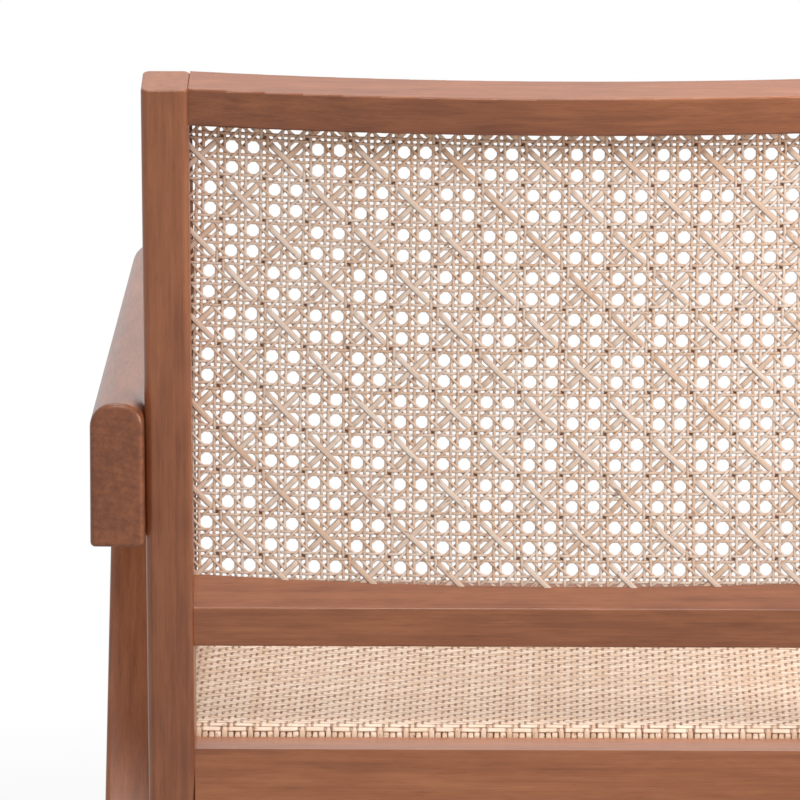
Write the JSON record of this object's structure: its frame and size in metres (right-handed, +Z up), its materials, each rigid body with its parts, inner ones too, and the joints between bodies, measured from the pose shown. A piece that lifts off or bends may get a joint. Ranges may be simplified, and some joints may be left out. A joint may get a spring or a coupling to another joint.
{
  "type": "lounge armchair",
  "caption": "Low wooden lounge armchair with a reclined open-cane back, a woven cane seat, upright board arms and tapered legs in inverted V pairs.",
  "frame": {"origin": "bottom centre of the chair's box, on the floor", "axes": "+Z up, +X towards the sitter's left, -Y the way the sitter faces, +Y towards the rear"},
  "size_m": [0.5704, 0.6374, 0.7656],
  "materials": {
    "stained_wood": "reddish walnut stain on straight-grained hardwood, satin lacquer",
    "inner_wood": "the same hardwood, stained but not lacquered",
    "back_cane": "natural rattan cane, open weave, satin",
    "seat_cane": "natural rattan cane, close twill weave, satin",
    "spline_reed": "split reed, satin",
    "dowel_wood": "beech, fluted and glued",
    "bolt_steel": "zinc-plated steel",
    "insert_brass": "plain brass",
    "screw_steel": "yellow-passivated steel",
    "glide_plastic": "dark brown moulded nylon"
  },
  "bodies": {
    "root": {"left_back_post": "stained_wood", "right_back_post": "stained_wood", "back_top_rail": "stained_wood", "back_lower_rail": "stained_wood", "left_arm": "stained_wood", "right_arm": "stained_wood", "left_front_leg": "stained_wood", "right_front_leg": "stained_wood", "left_rear_leg": "stained_wood", "right_rear_leg": "stained_wood", "left_seat_rail": "stained_wood", "right_seat_rail": "stained_wood", "seat_front_rail": "stained_wood", "seat_rear_rail": "stained_wood", "seat_brace": "inner_wood", "left_front_corner_block": "inner_wood", "right_front_corner_block": "inner_wood", "left_rear_corner_block": "inner_wood", "right_rear_corner_block": "inner_wood", "back_cane": "back_cane", "seat_cane": "seat_cane", "left_back_spline": "spline_reed", "right_back_spline": "spline_reed", "top_back_spline": "spline_reed", "lower_back_spline": "spline_reed", "left_seat_spline": "spline_reed", "right_seat_spline": "spline_reed", "front_seat_spline": "spline_reed", "rear_seat_spline": "spline_reed", "back_rail_dowels": "dowel_wood", "seat_rail_dowels": "dowel_wood", "arm_dowels": "dowel_wood", "arm_bolts": "bolt_steel", "leg_bolts": "bolt_steel", "arm_inserts": "insert_brass", "leg_inserts": "insert_brass", "corner_block_screws": "screw_steel", "left_front_glide": "glide_plastic", "right_front_glide": "glide_plastic", "left_rear_glide": "glide_plastic", "right_rear_glide": "glide_plastic"}
  },
  "joints": []
}
